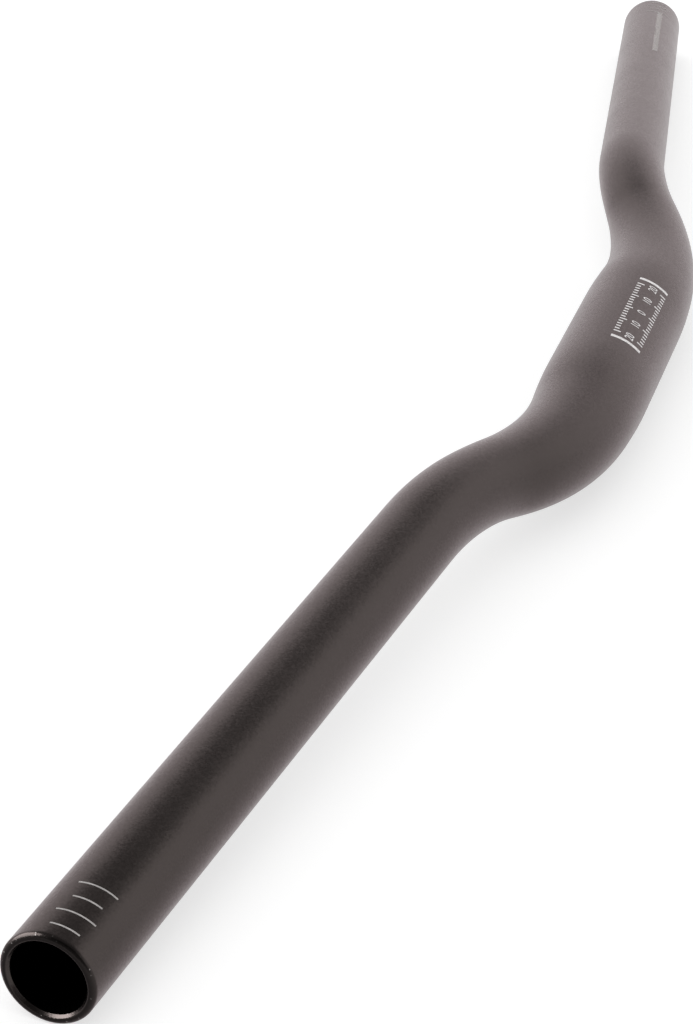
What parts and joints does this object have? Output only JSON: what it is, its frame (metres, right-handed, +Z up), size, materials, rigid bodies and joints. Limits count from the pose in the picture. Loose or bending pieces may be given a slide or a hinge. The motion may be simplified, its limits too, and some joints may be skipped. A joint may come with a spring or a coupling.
{
  "type": "bicycle riser handlebar",
  "caption": "Mountain bike riser handlebar: a bent aluminium tube, thick at the stem clamp, tapering through raised shoulders to straight, slightly swept-back grip ends that are open.",
  "frame": {"origin": "centre of the stem clamp, on the clamp axis", "axes": "+X along the clamp axis towards the rider's left grip, +Z up with the bar lying on a surface, front face up, on the back of its clamp and both tips, +Y from the clamp towards the tips"},
  "size_m": [0.723, 0.0774, 0.0347],
  "materials": {
    "bar": "matte bead-blasted black anodising"
  },
  "bodies": {
    "root": {"handlebar": "bar"}
  },
  "joints": []
}
